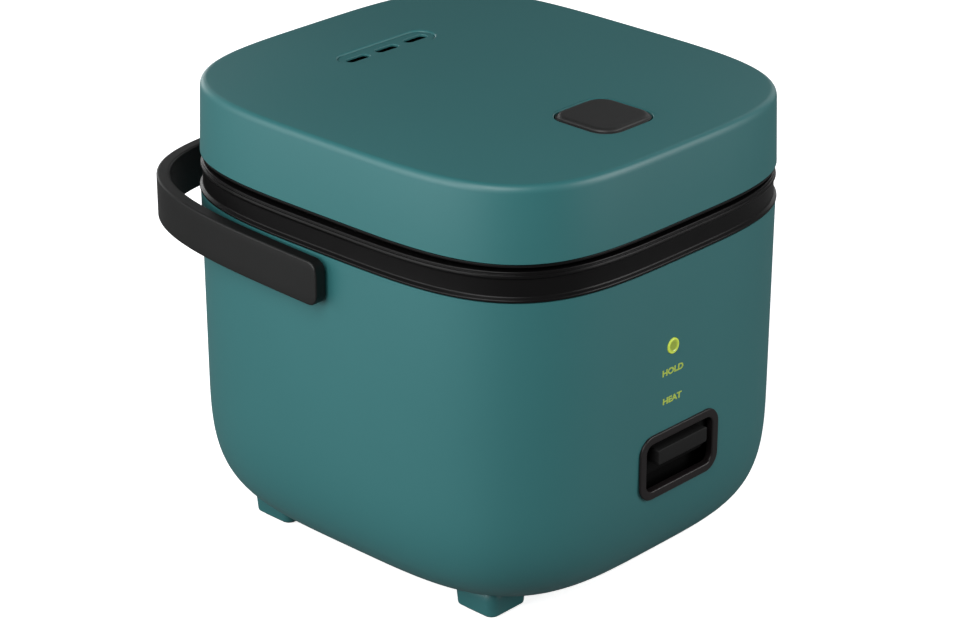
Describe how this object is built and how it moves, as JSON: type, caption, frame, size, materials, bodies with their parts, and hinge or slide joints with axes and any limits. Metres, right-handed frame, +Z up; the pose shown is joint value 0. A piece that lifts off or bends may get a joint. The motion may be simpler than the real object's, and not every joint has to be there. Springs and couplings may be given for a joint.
{
  "type": "rice cooker",
  "caption": "Small rounded-square rice cooker with hinged lid, push-button latch, slotted steam vent, cook lever, lift-out pot and swinging carry handle.",
  "frame": {"origin": "on the table, under the middle of the whole object's outline, stowed handle included", "axes": "+Z up, -Y the front with the cook lever, +X to the right of a person facing the front"},
  "size_m": [0.193, 0.2206, 0.1883],
  "materials": {
    "teal_coat": "satin teal paint on moulded plastic",
    "black_plastic": "satin black moulded plastic",
    "pad_rubber": "matt black rubber",
    "plated_steel": "plated steel",
    "spring_steel": "drawn spring wire",
    "liner_sheet": "pressed aluminium sheet",
    "cast_aluminium": "turned cast aluminium",
    "pot_coating": "dark non-stick coating on aluminium",
    "board_green": "green circuit board",
    "lens_yellow_green": "tinted clear plastic",
    "wire_insulation": "silicone wire sleeve",
    "silicone": "translucent white silicone"
  },
  "bodies": {
    "base_body": {"outer_body": "teal_coat", "base_cover": "teal_coat", "foot_pad_front_left": "pad_rubber", "foot_pad_front_right": "pad_rubber", "foot_pad_rear_left": "pad_rubber", "foot_pad_rear_right": "pad_rubber", "base_screw_front_left": "plated_steel", "base_screw_front_right": "plated_steel", "base_screw_rear_left": "plated_steel", "base_screw_rear_right": "plated_steel", "rim_ring": "black_plastic", "inner_liner": "liner_sheet", "inner_pot": "pot_coating", "heating_plate": "cast_aluminium", "heating_element": "plated_steel", "plate_stud_1": "plated_steel", "plate_stud_2": "plated_steel", "plate_stud_3": "plated_steel", "thermostat_housing": "plated_steel", "thermostat_spring": "spring_steel", "lever_bracket": "plated_steel", "lever_pin": "plated_steel", "lever_spring": "spring_steel", "lever_bezel": "black_plastic", "microswitch": "black_plastic", "keep_warm_thermostat": "black_plastic", "thermal_fuse": "plated_steel", "indicator_board": "board_green", "indicator_lamp": "lens_yellow_green", "indicator_lens": "lens_yellow_green", "power_inlet": "black_plastic", "inlet_pin_live": "plated_steel", "inlet_pin_neutral": "plated_steel", "inlet_pin_earth": "plated_steel", "live_wire": "wire_insulation", "neutral_wire": "wire_insulation", "hinge_pin": "plated_steel", "hinge_spring": "spring_steel", "handle_washer_left": "pad_rubber", "handle_washer_right": "pad_rubber"},
    "lid_body": {"lid_cover": "teal_coat", "lid_frame": "black_plastic", "inner_lid_plate": "liner_sheet", "inner_lid_grommet": "silicone", "lid_seal": "silicone", "steam_vent": "teal_coat", "steam_duct": "black_plastic", "latch_pin": "plated_steel", "latch_spring": "spring_steel", "button_spring": "spring_steel"},
    "button_body": {"lid_button": "black_plastic"},
    "latch_body": {"latch_hook": "black_plastic"},
    "lever_body": {"cook_lever": "black_plastic", "lever_beam": "plated_steel"},
    "magnet_body": {"magnet_rod": "plated_steel"},
    "cap_body": {"thermostat_cap": "plated_steel"},
    "handle_body": {"carry_handle": "black_plastic", "handle_pin_left": "plated_steel", "handle_pin_right": "plated_steel"}
  },
  "joints": [
    {"name": "lid_hinge", "type": "hinge", "parent": "base_body", "child": "lid_body", "pos_m": [0, 0.08875, 0.1525], "axis": [-1, 0, 0], "range_deg": [0, 85]},
    {"name": "lid_button_press", "type": "slide", "parent": "lid_body", "child": "button_body", "axis": [0, 0, -1], "range_m": [0, 0.003], "stiffness_N_per_m": 500, "springref_m": -0.002, "deforming": ["button_spring"]},
    {"name": "latch_swing", "type": "hinge", "parent": "lid_body", "child": "latch_body", "pos_m": [0, -0.08875, 0.165], "axis": [1, 0, 0], "range_deg": [-10.8, 0]},
    {"name": "cook_lever_press", "type": "hinge", "parent": "base_body", "child": "lever_body", "pos_m": [0, -0.04875, 0.0286], "axis": [1, 0, 0], "range_deg": [0, 5], "stiffness_Nm_per_rad": 0.4, "springref_deg": -6.88, "deforming": ["lever_spring"]},
    {"name": "magnet_lift", "type": "slide", "parent": "base_body", "child": "magnet_body", "axis": [0, 0, 1], "range_m": [0, 0.0036]},
    {"name": "thermostat_cap_press", "type": "slide", "parent": "base_body", "child": "cap_body", "axis": [0, 0, 1], "range_m": [-0.002, 0], "stiffness_N_per_m": 800, "springref_m": 0.002, "deforming": ["thermostat_spring"]},
    {"name": "handle_swing", "type": "hinge", "parent": "base_body", "child": "handle_body", "pos_m": [0, -0.00275, 0.1326], "axis": [1, 0, 0], "range_deg": [0, 88]}
  ],
  "couplings": [
    {"joint": "latch_swing", "follows": "lid_button_press", "rad_per_m": -62.5},
    {"joint": "magnet_lift", "follows": "cook_lever_press", "m_per_rad": 0.0402}
  ]
}
